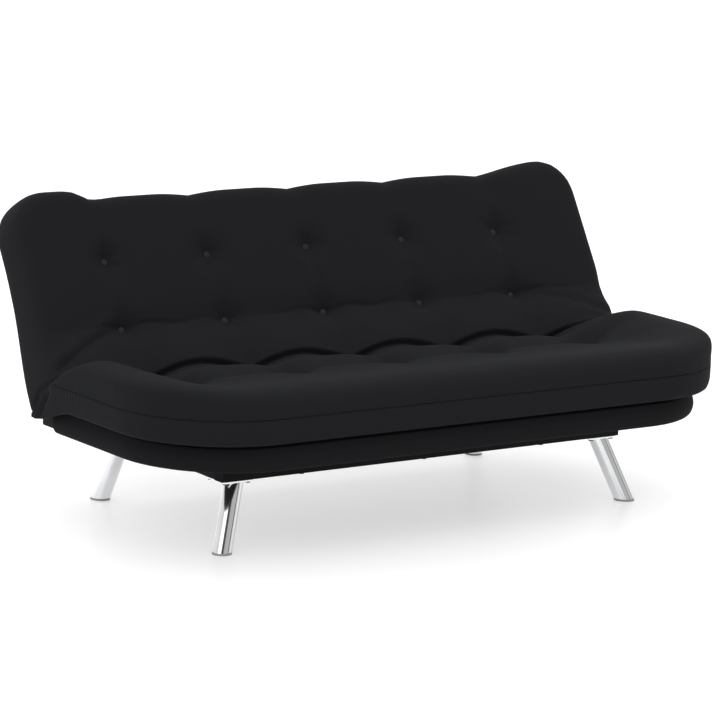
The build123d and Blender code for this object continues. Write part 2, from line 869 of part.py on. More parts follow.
def rail_plugs():
    """Plastic plugs over the open ends of the long under-rails."""
    with BuildPart() as plugs:
        for out in (rail_front_out, rail_rear_out):
            for x in (-under_length / 2 - plug_thickness, under_length / 2):
                with BuildSketch(along_x(seat_deck, x, out, rail_middle)):
                    RectangleRounded(under_rail_width, under_rail_height, tube_corner)
                extrude(amount=plug_thickness)
    return plugs


# ---- sub-parts -------------------------------------------------------------------------------

sides = {"left": -1, "right": 1}
ends = {"front": -1, "rear": 1}

# legs, glides and under-frame
plate_planes = []
for end_name, end in ends.items():
    for side_name, side in sides.items():
        plate_z = leg_height - leg_plate_thickness
        plate_planes += [head_plane_below(x, y, plate_z) for x, y in plate_screw_places(side, end)]
        save(leg(side, end), "leg_" + end_name + "_" + side_name)
        save(glide(side, end), "glide_" + end_name + "_" + side_name)
save(screws(plate_planes, plate_screw_length), "leg_screws")

frame_planes = [head_plane_below(x, y, leg_height) for x, y in frame_screw_places()]
save(screws(frame_planes, frame_screw_length), "frame_screws")


def drill_under(sub_part):
    """Holes for the screws that come up from below."""
    return drill(drill(sub_part, plate_planes, plate_screw_length), frame_planes, frame_screw_length)


rail_start = rail_rear_out + under_rail_width / 2
rail_span = under_depth - 2 * under_rail_width
front_rail = under_rail(along_x(seat_deck, -under_length / 2, rail_front_out, rail_middle), under_length)
rear_rail = under_rail(along_x(seat_deck, -under_length / 2, rail_rear_out, rail_middle), under_length)
save(drill_under(front_rail), "under_rail_front")
save(drill_under(rear_rail), "under_rail_rear")
for side_name, side in sides.items():
    side_section = along_out(seat_deck, hinge_side(seat_deck, side) * rail_x, rail_start, rail_middle)
    save(drill_under(under_rail(side_section, rail_span)), "under_rail_" + side_name)
save(rail_plugs(), "rail_plugs")
save(bumpers(), "bed_bumpers")

# seat deck
front_tube = tube_along_x(seat_deck, seat_front_out - tube_width / 2, seat_tube_bottom, seat_tube_height, corner_x)
rear_tube = tube_along_x(seat_deck, tube_middle, seat_tube_bottom, seat_tube_height, bracket_x - plate_thickness)
save(front_tube, "seat_tube_front")
save(drill_under(rear_tube), "seat_tube_rear")
save(drill_under(dust_cover()), "dust_cover")
seat_bars = crossbars(seat_deck, seat_tube_bottom, seat_tube_height, seat_front_out - tube_width)
save(drill_under(seat_bars), "seat_crossbars")
save(slats(seat_deck, seat_slat_end), "seat_slats")
save(slat_holders(seat_deck, seat_slat_end), "seat_slat_holders")

bracket_planes = []
arm_planes = []
for side_name, side in sides.items():
    deck_side = hinge_side(seat_deck, side)
    planes = hinge_screw_planes(seat_deck, side, bracket_x - plate_thickness, -side, bracket_screw_places())
    bracket_planes += planes
    side_tube_x = deck_side * (seat_side_x - tube_width / 2)
    side_tube = tube_along_out(
        seat_deck, side_tube_x, seat_tube_bottom, seat_tube_height, tube_start, corner_out,
    )
    save(drill(side_tube, planes, hinge_screw_length), "seat_tube_" + side_name)
    save(corner_tube(deck_side), "seat_corner_tube_" + side_name)
    save(drill(hinge_bracket(side), planes, hinge_screw_length), "hinge_bracket_" + side_name)

    board_x = deck_side * board_outer
    save(straight_board(board_x, deck_side * board_inner, band_rear, corner_out), "band_board_" + side_name)
    save(corner_board(deck_side), "band_corner_board_" + side_name)
save(straight_board(-corner_x, corner_x, seat_front_out, band_reach - band_padding), "band_board_front")
save(band_cover(), "band_cover")
save(screws(bracket_planes, hinge_screw_length), "bracket_screws")
save(pivot_bolts(), "pivot_bolts")
save(hinge_washers(), "hinge_washers")

# backrest frame
top_out = back_frame_reach - tube_width / 2
save(tube_along_x(back_deck, top_out, back_tube_bottom, back_tube_height, back_side_x - tube_width), "back_tube_top")
save(tube_along_x(back_deck, tube_middle, back_tube_bottom, back_tube_height, back_side_x - tube_width), "back_tube_bottom")
save(crossbars(back_deck, back_tube_bottom, back_tube_height, back_frame_reach - tube_width), "back_crossbars")
save(slats(back_deck, back_slat_end), "back_slats")
save(slat_holders(back_deck, back_slat_end), "back_slat_holders")
for side_name, side in sides.items():
    deck_side = hinge_side(back_deck, side)
    planes = hinge_screw_planes(back_deck, side, arm_x, side, arm_screw_places())
    arm_planes += planes
    side_tube_x = deck_side * (back_side_x - tube_width / 2)
    side_tube = tube_along_out(
        back_deck, side_tube_x, back_tube_bottom, back_tube_height, tube_start, back_frame_reach,
    )
    save(drill(side_tube, planes, hinge_screw_length), "back_tube_" + side_name)
    save(drill(hinge_arm(side), planes, hinge_screw_length), "hinge_arm_" + side_name)
    save(ratchet_hub(side), "ratchet_hub_" + side_name)
save(screws(arm_planes, hinge_screw_length), "arm_screws")
save(stop_pins(), "stop_pins")
save(hinge_bushes(), "hinge_bushes")
save(back_cover(), "back_cover")

# mattress halves
seat_tufts = [seat_tuft_out]
back_tufts = [back_low_tuft_out, back_high_tuft_out]
seat_half = mattress(
    seat_deck, seat_reach, seat_corner, seat_fold_lean, seat_tufts, seat_tuft_depth,
    channel_end=seat_tuft_out, valley_out=seat_tuft_out, valley_depth=seat_valley_depth, scallop=0,
)
back_half = mattress(
    back_deck, back_reach, back_corner, back_fold_lean, back_tufts, back_tuft_depth,
    channel_end=back_reach, valley_out=back_low_tuft_out, valley_depth=back_valley_depth, scallop=scallop_depth,
)
save(seat_half, "seat_mattress")
save(back_half, "back_mattress")
save(foam_core(seat_deck, seat_fold_lean, seat_reach, seat_corner), "seat_foam_core")
save(foam_core(back_deck, back_fold_lean, back_reach, back_corner), "back_foam_core")
save(tuft_buttons(seat_deck, seat_tufts, seat_tuft_depth), "seat_buttons")
save(tuft_buttons(back_deck, back_tufts, back_tuft_depth), "back_buttons")
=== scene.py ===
import json
import math

import bmesh
import bpy
import numpy as np
from mathutils import Matrix, Vector

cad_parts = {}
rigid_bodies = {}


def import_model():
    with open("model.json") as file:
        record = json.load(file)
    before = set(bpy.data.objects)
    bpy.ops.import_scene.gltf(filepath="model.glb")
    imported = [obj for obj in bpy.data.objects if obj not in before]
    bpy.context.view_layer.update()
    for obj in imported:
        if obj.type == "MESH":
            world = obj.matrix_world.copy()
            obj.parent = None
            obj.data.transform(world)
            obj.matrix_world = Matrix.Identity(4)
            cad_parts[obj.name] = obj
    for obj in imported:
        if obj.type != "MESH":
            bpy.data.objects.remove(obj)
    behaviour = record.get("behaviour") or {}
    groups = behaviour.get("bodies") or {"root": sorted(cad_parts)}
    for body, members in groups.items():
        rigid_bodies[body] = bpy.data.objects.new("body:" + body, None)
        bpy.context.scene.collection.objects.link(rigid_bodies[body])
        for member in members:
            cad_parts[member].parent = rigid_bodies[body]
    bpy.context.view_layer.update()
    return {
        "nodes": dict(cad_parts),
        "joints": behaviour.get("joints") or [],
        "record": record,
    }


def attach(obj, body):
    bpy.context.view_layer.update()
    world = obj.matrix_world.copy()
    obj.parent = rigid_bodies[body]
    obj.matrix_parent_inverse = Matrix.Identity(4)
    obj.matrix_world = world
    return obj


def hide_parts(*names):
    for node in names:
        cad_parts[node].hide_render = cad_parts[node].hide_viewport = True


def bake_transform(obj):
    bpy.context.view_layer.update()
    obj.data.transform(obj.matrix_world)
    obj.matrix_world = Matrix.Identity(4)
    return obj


# Click-clack sofa bed: the upholstery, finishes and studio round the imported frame.
#
# Lengths are in metres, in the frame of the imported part: X along the sofa, Y to the rear, Z up.
# The seat and the backrest are two decks hinged on the pivot line. A place on a deck is given as
# (x, out, up): along the sofa, outwards from the pivot along the deck, and out of the deck.

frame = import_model()
for piece in bpy.data.objects:
    piece.select_set(False)

MM = 0.001
recline = math.radians(31)
pivot = Vector(frame["joints"][0]["pos_m"])
lean_sin, lean_cos = math.sin(recline), math.cos(recline)

# sizes of the upholstery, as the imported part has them
half_width = 950 * MM
underside = 18 * MM
thickness = 145 * MM
crown = underside + thickness
seat_seam = underside + 68 * MM
back_seam = underside + 28 * MM
seat_reach = 793 * MM
seat_corner = 300 * MM
back_reach = 528 * MM
back_corner = 105 * MM
tuft_columns = [(i - 2) * 330 * MM for i in range(5)]
seat_tuft_out = 370 * MM
back_tuft_outs = (132 * MM, 326 * MM)
seat_corner_x = half_width - seat_corner
seat_corner_out = seat_reach - seat_corner
band_half_width = 910 * MM
band_reach = 764 * MM
band_corner = 300 * MM
band_rear = 136 * MM
lining_inset = 23.4 * MM        # dust cover inside the band's outline
lining_rear = 32 * MM
lining_up = -56 * MM            # dust cover's upper face over the pivot plane
rail_x = 638 * MM               # under-frame's rails, which the dust cover rests on
rail_front = 542 * MM
frame_rear = -43 * MM           # rear face of the backrest's frame under its pivot plane

# the plane on which the seat and the backrest press together, and its direction up from the pivot
fold_lean = math.radians(59.5)
fold_normal = Vector((0, -math.cos(fold_lean), -math.sin(fold_lean)))
fold_rise = Vector((0, -math.sin(fold_lean), math.cos(fold_lean)))


# ---- decks -----------------------------------------------------------------------------------

def on_seat(points):
    """Points of the frame as (x, out, up) on the seat deck."""
    return np.column_stack((points[:, 0], pivot.y - points[:, 1], points[:, 2] - pivot.z))


def from_seat(local):
    """Points on the seat deck as points of the frame."""
    return np.column_stack((local[:, 0], pivot.y - local[:, 1], pivot.z + local[:, 2]))


def on_back(points):
    """Points of the frame as (x, out, up) on the backrest deck."""
    dy, dz = points[:, 1] - pivot.y, points[:, 2] - pivot.z
    return np.column_stack(
        (points[:, 0], dy * lean_sin + dz * lean_cos, dz * lean_sin - dy * lean_cos)
    )


def from_back(local):
    """Points on the backrest deck as points of the frame."""
    x, out, up = local.T
    return np.column_stack(
        (x, pivot.y + out * lean_sin - up * lean_cos, pivot.z + out * lean_cos + up * lean_sin)
    )


def smooth(t):
    """0 to 1, easing in and out."""
    t = np.clip(t, 0, 1)
    return t * t * (3 - 2 * t)


def ramp(value, start, end):
    """0 before start, 1 past end, smooth between them; start may be the larger."""
    return smooth((value - start) / (end - start))


# ---- meshes ----------------------------------------------------------------------------------

def piece_from(name, bm):
    """A new object that holds the bmesh."""
    mesh = bpy.data.meshes.new(name)
    bm.to_mesh(mesh)
    bm.free()
    piece = bpy.data.objects.new(name, mesh)
    bpy.context.scene.collection.objects.link(piece)
    return piece


def pick(piece):
    """Makes the piece the only selected one."""
    for other in bpy.context.selected_objects:
        other.select_set(False)
    piece.select_set(True)
    bpy.context.view_layer.objects.active = piece


def apply(piece, kind, **settings):
    """Adds a modifier with its settings and applies it."""
    pick(piece)
    modifier = piece.modifiers.new(kind.lower(), kind)
    for key, value in settings.items():
        setattr(modifier, key, value)
    bpy.ops.object.modifier_apply(modifier=modifier.name)


def points_of(piece):
    """The piece's points as rows of x, y, z."""
    co = np.empty(len(piece.data.vertices) * 3)
    piece.data.vertices.foreach_get("co", co)
    return co.reshape(-1, 3)


def set_points(piece, points):
    piece.data.vertices.foreach_set("co", np.ascontiguousarray(points, dtype=np.float32).ravel())
    piece.data.update()


def bridge(bm, rings):
    """Joins neighbouring rings of the same count with faces."""
    for one, other in zip(rings, rings[1:]):
        for i in range(len(one)):
            j = (i + 1) % len(one)
            bm.faces.new((one[i], one[j], other[j], other[i]))


def cap(bm, rings):
    """Closes the first and the last ring."""
    bm.faces.new(list(reversed(rings[0])))
    bm.faces.new(rings[-1])


def finish(piece, material, smooth_angle=None):
    """Gives the piece its material and smooth shading, with edges kept past the angle."""
    piece.data.materials.clear()
    piece.data.materials.append(material)
    pick(piece)
    if smooth_angle is None:
        bpy.ops.object.shade_smooth()
    else:
        bpy.ops.object.shade_smooth_by_angle(angle=math.radians(smooth_angle))
    return piece


# ---- materials -------------------------------------------------------------------------------

class Channel:
    """A number in a material's nodes. Arithmetic on it adds Math nodes."""

    def __init__(self, finish, socket):
        self.finish, self.socket = finish, socket

    def math(self, operation, *others):
        return self.finish.math(operation, self, *others)

    def __add__(self, other):
        return self.math("ADD", other)

    def __sub__(self, other):
        return self.math("SUBTRACT", other)

    def __mul__(self, other):
        return self.math("MULTIPLY", other)

    def __truediv__(self, other):
        return self.math("DIVIDE", other)

    def __pow__(self, other):
        return self.math("POWER", other)

    def __rsub__(self, other):
        return self.finish.math("SUBTRACT", other, self)

    __radd__ = __add__
    __rmul__ = __mul__


class Finish:
    """A material, or the studio's sky, built from nodes."""

    def __init__(self, owner):
        self.material = bpy.data.materials.new(owner) if isinstance(owner, str) else owner
        self.material.use_nodes = True
        self.tree = self.material.node_tree
        self.tree.nodes.clear()
        self.place = self.node("ShaderNodeTexCoord").outputs["Object"]

    def node(self, kind, settings=None, **sockets):
        """Adds a node: its settings first, then the values or links of its input sockets."""
        node = self.tree.nodes.new(kind)
        for key, value in (settings or {}).items():
            if key == "stops":
                ramp_stops = node.color_ramp.elements
                for i, (position, colour) in enumerate(value):
                    stop = ramp_stops[i] if i < 2 else ramp_stops.new(position)
                    stop.position, stop.color = position, colour
            else:
                setattr(node, key, value)
        for key, value in sockets.items():
            numbered = key[0] == "i" and key[1:].isdigit()
            socket = node.inputs[int(key[1:]) if numbered else key.replace("_", " ")]
            self.plug(socket, value)
        return node

    def plug(self, socket, value):
        """Links a channel or a socket to an input, or sets the input's value."""
        if isinstance(value, Channel):
            value = value.socket
        if isinstance(value, bpy.types.NodeSocket):
            self.tree.links.new(value, socket)
        else:
            socket.default_value = value

    def math(self, operation, *values, clamp=False):
        node = self.node("ShaderNodeMath", {"operation": operation, "use_clamp": clamp})
        for socket, value in zip(node.inputs, values):
            self.plug(socket, value)
        return Channel(self, node.outputs[0])

    def noise(self, scale, detail=2.0, roughness=0.5, place=None, stretch=None):
        """Noise from 0 to 1 over Object coordinates; stretch scales it by axis."""
        place = place or self.place
        if stretch:
            place = self.node("ShaderNodeMapping", Vector=place, Scale=stretch).outputs[0]
        node = self.node(
            "ShaderNodeTexNoise", Vector=place, Scale=scale, Detail=detail, Roughness=roughness
        )
        return Channel(self, node.outputs["Fac"])

    def between(self, factor, low, high):
        """A colour between two, by a factor from 0 to 1."""
        node = self.node("ShaderNodeMix", {"data_type": "RGBA"}, i0=factor, i6=low, i7=high)
        return node.outputs[2]

    def bump(self, height, distance, strength=1.0, normal=None):
        sockets = {"Height": height, "Distance": distance, "Strength": strength}
        if normal is not None:
            sockets["Normal"] = normal
        return self.node("ShaderNodeBump", **sockets).outputs[0]

    def surface(self, **sockets):
        """Ends the material in one principled shader."""
        shader = self.node("ShaderNodeBsdfPrincipled", **sockets)
        self.node("ShaderNodeOutputMaterial", Surface=shader.outputs[0])
        return self.material


def rgb(r, g, b):
    return (r, g, b, 1.0)


def gathers(cloth, x, y, z):
    """Short upright gathers along the side seams, towards the seat's rear."""
    gather_pitch = 15 * MM
    out, height = pivot.y - y, z - (pivot.z + seat_seam)
    wander = cloth.noise(9, 2, 0.5) * 5
    wave = cloth.math("SINE", out * (2 * math.pi / gather_pitch) + wander) * 0.5 + 0.5
    side = cloth.math("SMOOTH_MIN", (cloth.math("ABSOLUTE", x) - 900 * MM) / (20 * MM), 1.0, 0.2)
    side = cloth.math("MAXIMUM", side, 0.0)
    along = 1 - cloth.math("ABSOLUTE", (out - 255 * MM) / (125 * MM))
    reach = 1 - cloth.math("ABSOLUTE", (height + 14 * MM) / (52 * MM))
    mask = cloth.math("MAXIMUM", along, 0.0) ** 0.5 * cloth.math("MAXIMUM", reach, 0.0) ** 0.7
    return wave * mask * side


def woven_fabric(name, tone, pile=1.0, gathered=False):
    """Near-black flat weave with a short soft nap that catches light at a glance."""
    cloth = Finish(name)
    split = cloth.node("ShaderNodeSeparateXYZ", Vector=cloth.place)
    x, y, z = (Channel(cloth, output) for output in split.outputs)
    thread_pitch = 1.7 * MM
    thread = 2 * math.pi / thread_pitch
    warp = cloth.math("SINE", x * thread)
    weft = cloth.math("SINE", (z * lean_cos + y * lean_sin) * thread)
    cross = cloth.math("SINE", (y * lean_cos - z * lean_sin) * thread)
    weave = (warp * weft + weft * cross + warp * cross) * 0.33
    fleck = cloth.noise(420, 3, 0.6)
    slub = cloth.noise(60, 3, 0.65, stretch=(1, 5, 5))
    brushed = cloth.noise(7, 4, 0.55)
    shade = fleck * 0.5 + slub * 0.3 + brushed * 0.2
    low = rgb(*(c * 0.72 for c in tone))
    high = rgb(*(c * 1.30 for c in tone))
    fine = cloth.bump(weave + fleck * 0.8, 0.35 * MM, 0.55)
    soft = cloth.bump(cloth.noise(28, 3, 0.5), 1.2 * MM, 0.30, fine)
    if gathered:
        soft = cloth.bump(gathers(cloth, x, y, z), 2 * MM, 0.5, soft)
    return cloth.surface(
        Base_Color=cloth.between(shade, low, high),
        Roughness=0.86 + brushed * 0.1,
        Specular_IOR_Level=0.12,
        Sheen_Weight=0.05 * pile,
        Sheen_Roughness=0.42,
        Sheen_Tint=rgb(0.26, 0.275, 0.31),
        Normal=soft,
    )


def chrome_plate():
    """Polished chrome with the faintest haze and finger marks."""
    plate = Finish("chrome_plate")
    haze = plate.noise(18, 4, 0.6)
    drawn = plate.noise(55, 2, 0.5, stretch=(1, 1, 0.08))
    return plate.surface(
        Base_Color=plate.between(haze, rgb(0.74, 0.75, 0.76), rgb(0.86, 0.86, 0.87)),
        Metallic=1.0,
        Roughness=0.07 + haze * 0.06,
        Normal=plate.bump(drawn, 0.2 * MM, 0.05),
    )


def moulded_plastic(name, low, high, roughness, gloss=0.5):
    """Plastic or rubber with a fine moulded grain and faint scuffs."""
    plastic = Finish(name)
    grain = plastic.noise(1500, 2, 0.5)
    scuff = plastic.noise(45, 4, 0.65)
    return plastic.surface(
        Base_Color=plastic.between(scuff, low, high),
        Roughness=roughness + scuff * 0.14,
        Specular_IOR_Level=gloss,
        Normal=plastic.bump(grain, 0.15 * MM, 0.25),
    )


def coated_steel():
    """Black powder coating with its fine orange peel."""
    coat = Finish("black_coated_steel")
    peel = coat.noise(700, 2, 0.5)
    dust = coat.noise(30, 4, 0.6)
    return coat.surface(
        Base_Color=coat.between(dust, rgb(0.004, 0.004, 0.0045), rgb(0.008, 0.008, 0.009)),
        Roughness=0.55 + dust * 0.12,
        Specular_IOR_Level=0.12,
        Normal=coat.bump(peel, 0.12 * MM, 0.35),
    )


def zinc_plate():
    """Black-passivated zinc, as on the hinges' fasteners."""
    zinc = Finish("zinc_plate")
    spangle = zinc.node("ShaderNodeTexVoronoi", Vector=zinc.place, Scale=260).outputs["Color"]
    grey = Channel(zinc, zinc.node("ShaderNodeRGBToBW", Color=spangle).outputs[0])
    return zinc.surface(
        Base_Color=zinc.between(grey, rgb(0.060, 0.060, 0.062), rgb(0.105, 0.105, 0.110)),
        Metallic=1.0,
        Roughness=0.30 + grey * 0.12,
    )


def sawn_wood(name, low, high, grain_axis):
    """Pale wood whose grain runs along one axis."""
    wood = Finish(name)
    stretch = [34, 34, 34]
    stretch[grain_axis] = 1.6
    grain = wood.noise(1.0, 6, 0.62, stretch=tuple(stretch))
    pores = wood.noise(9, 3, 0.7, stretch=tuple(s * 2.5 for s in stretch))
    mix = wood.math("MULTIPLY_ADD", pores, 0.35, grain * 0.75, clamp=True)
    return wood.surface(
        Base_Color=wood.between(mix, low, high),
        Roughness=0.52 + pores * 0.2,
        Normal=wood.bump(pores, 0.25 * MM, 0.3),
    )


def open_foam():
    """Cream open-cell foam."""
    foam = Finish("open_foam")
    pores = foam.node("ShaderNodeTexVoronoi", Vector=foam.place, Scale=420)
    cells = Channel(foam, pores.outputs["Distance"])
    return foam.surface(
        Base_Color=foam.between(cells, rgb(0.72, 0.66, 0.45), rgb(0.84, 0.79, 0.60)),
        Roughness=0.95,
        Normal=foam.bump(cells, 0.8 * MM, 0.6),
    )


def studio_floor():
    """Pale floor that stays white where it is lit and keeps the sofa's shadow."""
    floor_glow = 0.46
    floor = Finish("studio_floor")
    path = floor.node("ShaderNodeLightPath")
    straight = Channel(floor, path.outputs["Is Camera Ray"])
    mirrored = Channel(floor, path.outputs["Is Glossy Ray"])
    seen = floor.math("MAXIMUM", straight, mirrored)
    mottle = floor.noise(3, 2, 0.5)
    base = floor.node(
        "ShaderNodeBsdfPrincipled",
        Base_Color=floor.between(mottle, rgb(0.79, 0.79, 0.79), rgb(0.81, 0.81, 0.81)),
        Roughness=0.32,
        Specular_IOR_Level=0.25,
    )
    glow = floor.node("ShaderNodeEmission", Color=rgb(1, 1, 1), Strength=seen * floor_glow)
    both = floor.node("ShaderNodeAddShader", i0=base.outputs[0], i1=glow.outputs[0])
    floor.node("ShaderNodeOutputMaterial", Surface=both.outputs[0])
    return floor.material


charcoal = woven_fabric("charcoal_weave", (0.0129, 0.0132, 0.0153), gathered=True)
band_weave = woven_fabric("band_weave", (0.0102, 0.0104, 0.0118), 0.8)
rear_cloth = woven_fabric("rear_weave", (0.0098, 0.0100, 0.0112), 0.6)
button_weave = woven_fabric("button_weave", (0.030, 0.0305, 0.033), 1.3)
lining = woven_fabric("black_lining", (0.011, 0.011, 0.012), 0.4)
finishes = {
    "chrome": chrome_plate(),
    "grey_plastic": moulded_plastic(
        "grey_glide", rgb(0.30, 0.31, 0.32), rgb(0.42, 0.43, 0.44), 0.42
    ),
    "black_plastic": moulded_plastic(
        "black_moulding", rgb(0.016, 0.016, 0.017), rgb(0.03, 0.03, 0.031), 0.38
    ),
    "black_steel": coated_steel(),
    "zinc_steel": zinc_plate(),
    "wood": sawn_wood("beech_slat", rgb(0.60, 0.42, 0.25), rgb(0.76, 0.58, 0.38), 1),
    "plywood": sawn_wood("poplar_ply", rgb(0.56, 0.42, 0.26), rgb(0.72, 0.57, 0.38), 0),
    "cover_fabric": charcoal,
    "button_fabric": button_weave,
    "lining": lining,
    "foam": open_foam(),
    "rubber": moulded_plastic(
        "black_rubber", rgb(0.008, 0.008, 0.008), rgb(0.013, 0.013, 0.013), 0.75, 0.15
    ),
}
slot_of = {part["node"]: part["material_slot"] for part in frame["record"]["subparts"]}
for node_name, node in frame["nodes"].items():
    node.data.materials.clear()
    node.data.materials.append(finishes[slot_of[node_name]])
# the plugs in the under-frame's rails are black, unlike the grey glides of the same plastic
frame["nodes"]["rail_plugs"].data.materials[0] = finishes["rubber"]


# ---- mattress --------------------------------------------------------------------------------

# steps along a rounded outline: up one side, round its corner, and to the middle of the front
side_steps, corner_steps, front_steps = 24, 32, 60


def plan_ring(inset, reach, corner, start):
    """Outline of a rounded half at an inset, evenly stepped, from one fold end to the other."""
    side, end = half_width - inset, reach - inset
    turn = max(corner - inset, 12 * MM)
    ring = [
        (side, start + (end - turn - start) * i / side_steps)
        for i in range(side_steps)
    ]
    for i in range(corner_steps + 1):
        angle = math.pi / 2 * i / corner_steps
        ring.append((side - turn + turn * math.cos(angle), end - turn + turn * math.sin(angle)))
    ring += [((side - turn) * (1 - i / front_steps), end) for i in range(1, front_steps + 1)]
    return ring + [(-x, out) for x, out in reversed(ring[:-1])]


def roll_profile(seam, depth, power):
    """Heights and insets up the side of a mattress half: a tucked foot, then a full roll."""
    foot = [
        (underside, 22 * MM),
        (underside + 2 * MM, 10 * MM),
        (underside + 9 * MM, 3 * MM),
        (underside + 20 * MM, 0.5 * MM),
    ]
    roll, steps = [], 12
    for i in range(steps + 1):
        t = math.pi / 2 * i / steps
        inset = depth * (1 - math.cos(t) ** (2 / power))
        roll.append((seam + (crown - seam) * math.sin(t) ** (2 / power), inset))
    return [level for level in foot if level[0] < seam] + roll


def mattress_half(name, reach, corner, profile, place, swell):
    """One half as a dense closed form that starts past the fold, swelled to its large forms."""
    past_fold = -70 * MM
    bm = bmesh.new()
    rings = []
    for up, inset in profile:
        outline = plan_ring(inset, reach, corner, past_fold)
        rings.append([bm.verts.new((x, out, up)) for x, out in outline])
    bridge(bm, rings)
    cap(bm, rings)
    half = piece_from(name, bm)
    apply(half, "REMESH", mode="VOXEL", voxel_size=14 * MM, adaptivity=0.0)
    set_points(half, place(swell(points_of(half))))
    return half


def swell_seat(local):
    """The seat is hollow in the middle and falls away towards the fold; its ends stay full."""
    hollow_depth, fall_depth = 40 * MM, 23 * MM
    shoulder_wide, shoulder_high = 42 * MM, 6 * MM
    x, out, up = local.T
    lifted = ramp(up, underside + 40 * MM, crown)
    middle = ramp(np.abs(x), 840 * MM, 690 * MM)
    hollow = hollow_depth * middle * ramp(out, 800 * MM, 440 * MM)
    fall = fall_depth * ramp(out, 330 * MM, 185 * MM)
    shoulder = ramp(np.abs(x), 690 * MM, 860 * MM) * ramp(up, seat_seam + 15 * MM, crown)
    local[:, 0] = x + np.sign(x) * shoulder_wide * shoulder
    local[:, 2] = up - lifted * (hollow + fall) + shoulder_high * shoulder
    return local


def swell_back(local):
    """The fold pushes the backrest's foot out over the seat, and its top is fuller at the ends."""
    foot_push = 56 * MM
    end_rise, corner_drop, middle_drop = 26 * MM, 6 * MM, 4 * MM
    x, out, up = local.T
    lifted = ramp(up, underside + 50 * MM, crown)
    ends = 1 - 0.25 * ramp(np.abs(x), 800 * MM, half_width)
    local[:, 2] = up + lifted * ends * foot_push * ramp(out, 150 * MM, -10 * MM)
    far = ramp(out, 330 * MM, back_reach)
    full = np.maximum(ramp(-x, 610 * MM, 730 * MM), ramp(x, 660 * MM, 850 * MM))
    round_end = ramp(np.abs(x), half_width - 130 * MM, half_width)
    local[:, 1] = out + far * (end_rise * full - corner_drop * round_end - middle_drop)
    return local


def cut_at_fold(half, side):
    """Cuts a half along the fold's plane with a little to spare for the join."""
    spare = 3 * MM
    bm = bmesh.new()
    bm.from_mesh(half.data)
    bmesh.ops.bisect_plane(
        bm,
        geom=bm.verts[:] + bm.edges[:] + bm.faces[:],
        plane_co=pivot - side * spare * fold_normal,
        plane_no=-side * fold_normal,
        clear_outer=True,
    )
    bmesh.ops.holes_fill(bm, edges=[e for e in bm.edges if e.is_boundary])
    bmesh.ops.recalc_face_normals(bm, faces=bm.faces[:])
    bm.to_mesh(half.data)
    bm.free()


def cusp(distance, width, power=1.7):
    """1 on a line, falling to 0 at the width, with a crease along the line."""
    return np.clip(1 - np.abs(distance) / width, 0, 1) ** power


def tuft(distance, width):
    """1 at a button, falling away as stretched cloth does."""
    return np.clip(1 - distance / width, 0, 1) ** 2.3


def pleats(x, out, columns, row, count, width):
    """Small folds that run out from each button of a row, from -1 to 1."""
    total = np.zeros(len(x))
    for number, column in enumerate(columns):
        dx, dy = x - column, out - row
        away = np.hypot(dx, dy)
        turn = np.arctan2(dy, dx)
        wave = np.cos(count * turn + 1.7 * number)
        wave += 0.5 * np.cos((count + 3) * turn + 2.9 * number + row * 40)
        total += wave * np.exp(-(((away - width * 0.42) / (width * 0.30)) ** 2))
    return total / 1.5


def nearest_column(x):
    """Distance to the nearest column of buttons."""
    return np.min([np.abs(x - column) for column in tuft_columns], axis=0)


def scallop(x):
    """1 at each column of buttons and 0 half-way to the next, in round arcs that meet in a point."""
    pitch = tuft_columns[1] - tuft_columns[0]
    return 1 - np.sin(np.pi * np.minimum(nearest_column(x) / pitch, 0.5))


def pillow_seat(local):
    """Draws the seat's crown down along its channels and at its tufts."""
    rear_depth, scallop_depth, front_depth = 12 * MM, 42 * MM, 14 * MM
    valley_depth, tuft_depth, pleat_height, rim_hang = 19 * MM, 46 * MM, 2.2 * MM, 8 * MM
    x, out, up = local.T
    lifted = ramp(up, underside + 30 * MM, underside + 115 * MM)
    column = nearest_column(x)
    beyond = ramp(np.abs(x), half_width - 30 * MM, tuft_columns[-1] + 30 * MM)
    rear = ramp(out, seat_tuft_out + 10 * MM, seat_tuft_out - 50 * MM)
    near_fold = ramp(out, 300 * MM, 190 * MM)
    channel = rear_depth * rear * cusp(column, 140 * MM)
    channel = channel + scallop_depth * near_fold * scallop(x)
    front = front_depth * ramp(out, seat_tuft_out + 190 * MM, seat_tuft_out) * (1 - rear)
    channel = channel + front * cusp(column, 130 * MM, 1.5)
    valley = valley_depth * beyond * cusp(out - seat_tuft_out, 85 * MM, 1.3)
    drop = np.sqrt(channel ** 2 + valley ** 2)
    for column_x in tuft_columns:
        away = np.hypot(x - column_x, (out - seat_tuft_out) * 1.05)
        drop = drop + tuft_depth * tuft(away, 125 * MM)
    drop = drop - pleat_height * pleats(x, out, tuft_columns, seat_tuft_out, 5, 95 * MM)
    # the rim hangs a little where it reaches past the base
    past = np.hypot(
        np.maximum(np.abs(x) - seat_corner_x, 0), np.maximum(out - seat_corner_out, 0)
    )
    rim = ramp(past, seat_corner - 34 * MM, seat_corner - 6 * MM)
    rim = rim * ramp(up, underside + 60 * MM, underside)
    local[:, 2] = up - lifted * drop - rim_hang * rim
    return local


def back_channels(x, out):
    """How deep the backrest is drawn in along its columns and its lower row of buttons."""
    low, high = back_tuft_outs
    column = nearest_column(x)
    depth = 2.5 * MM + 4 * MM * ramp(out, high + 60 * MM, back_reach - 40 * MM)
    channel = depth * cusp(column, 135 * MM, 1.6)
    foot = 12 * MM * ramp(out, low - 40 * MM, 10 * MM) * scallop(x)
    within = ramp(np.abs(x), half_width - 20 * MM, tuft_columns[-1])
    valley = 6 * MM * cusp(out - low, 75 * MM) * (0.35 + 0.65 * within)
    return np.maximum(np.maximum(channel, foot), valley)


